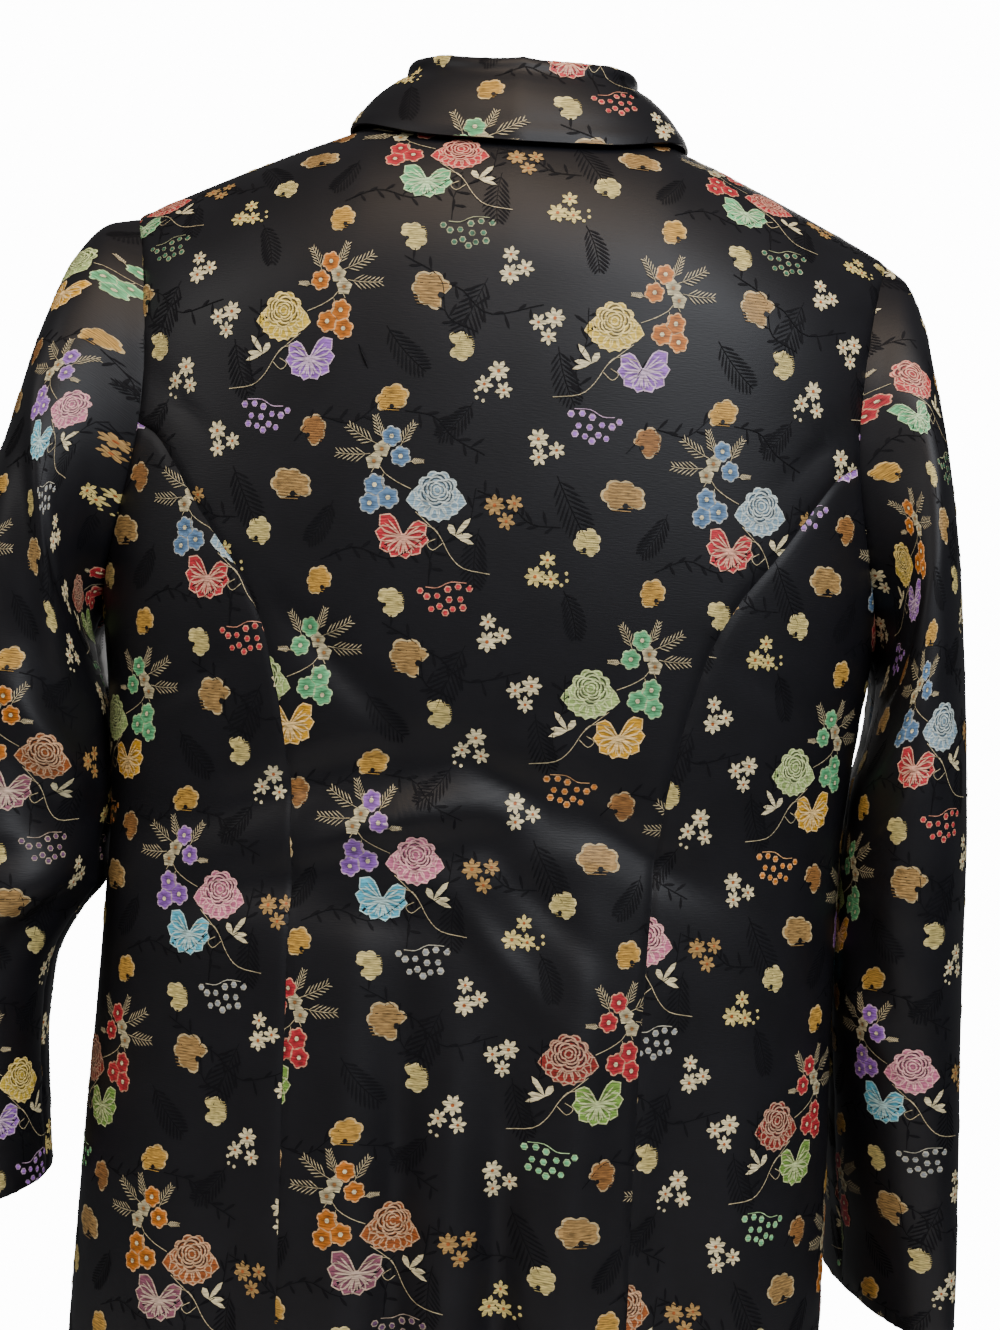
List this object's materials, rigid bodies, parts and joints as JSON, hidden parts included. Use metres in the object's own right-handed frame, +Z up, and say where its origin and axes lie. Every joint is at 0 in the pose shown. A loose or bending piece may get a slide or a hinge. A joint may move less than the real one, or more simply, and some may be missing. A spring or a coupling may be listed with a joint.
{
  "type": "brocade jacket",
  "caption": "Long-sleeved jacket with a turn-down collar, princess-seamed back and buttoned front, in black satin brocade with woven flowers, filled out and hollow.",
  "frame": {"origin": "middle of the neck opening at the height of the shoulder-neck points, where the wearer holds it up", "axes": "+Z up to the collar, +Y towards the buttoned front, the back towards -Y, the wearer's right towards +X"},
  "size_m": [0.585, 0.2226, 0.7684],
  "materials": {
    "brocade": "black satin with small woven flowers in many colours",
    "button_cover": "plain black satin"
  },
  "bodies": {
    "root": {"centre_back": "brocade", "side_back_left": "brocade", "side_back_right": "brocade", "front_left": "brocade", "front_right": "brocade", "sleeve_left": "brocade", "sleeve_right": "brocade", "collar_stand": "brocade", "collar_fall": "brocade", "button_1": "button_cover", "button_2": "button_cover", "button_3": "button_cover", "button_4": "button_cover", "button_5": "button_cover"}
  },
  "joints": []
}
